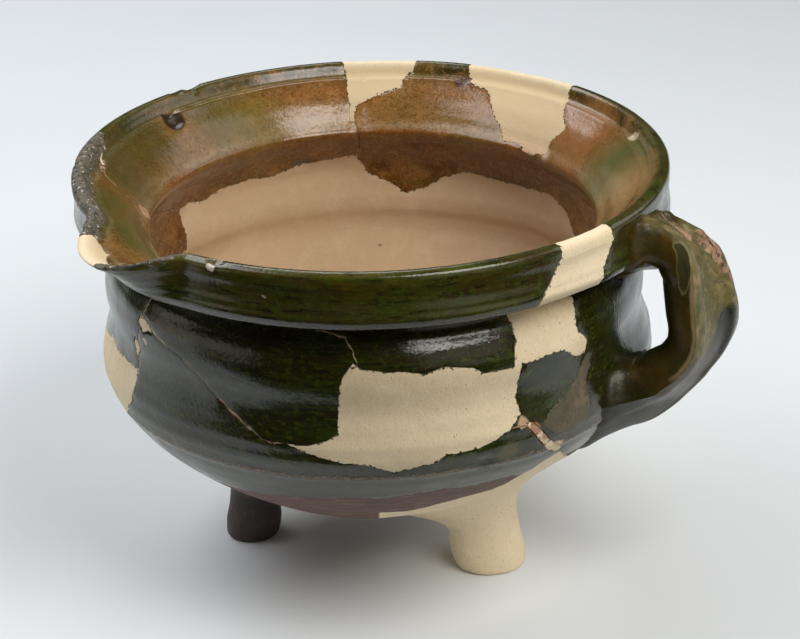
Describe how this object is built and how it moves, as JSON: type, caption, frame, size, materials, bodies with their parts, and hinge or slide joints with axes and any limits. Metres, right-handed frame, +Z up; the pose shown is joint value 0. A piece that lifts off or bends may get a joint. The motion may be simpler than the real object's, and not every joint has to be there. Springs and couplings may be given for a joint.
{
  "type": "three-legged cooking jug",
  "caption": "Round-bellied glazed earthenware cooking jug on short feet, with a flared collar rim, a pulled pouring spout and a strap handle, mended from sherds with plaster fills.",
  "frame": {"origin": "on the ground under the middle of the outer box, in the plane of the three soles", "axes": "+Z up along the pot's axis; the picture looks along +Y, so the spout is to the left at -X and -Y and the handle to the right at +X and -Y"},
  "size_m": [0.2328, 0.239, 0.1546],
  "materials": {
    "glazed_clay": "green lead glaze over red earthenware",
    "plaster": "toned restoration plaster, matt",
    "burnt_clay": "bare fired clay, blackened by the fire"
  },
  "bodies": {
    "root": {"upper_crack_fill": "plaster", "lower_crack_fill": "plaster", "root_edge_fill": "plaster", "spout_tip_fill": "plaster", "front_fill": "plaster", "back_left_rim_fill": "plaster", "back_right_rim_fill": "plaster", "handle_sherd": "glazed_clay", "back_rim_sherd": "glazed_clay", "back_left_rim_sherd": "glazed_clay", "spout_rim_sherd": "glazed_clay", "front_rim_sherd": "glazed_clay", "left_shoulder_sherd": "glazed_clay", "front_body_sherd": "glazed_clay", "base_fill": "plaster", "lower_body_sherd": "glazed_clay", "back_body_fill": "plaster", "strap_handle": "glazed_clay", "right_foot": "plaster", "left_foot": "burnt_clay", "back_foot": "plaster"}
  },
  "joints": []
}
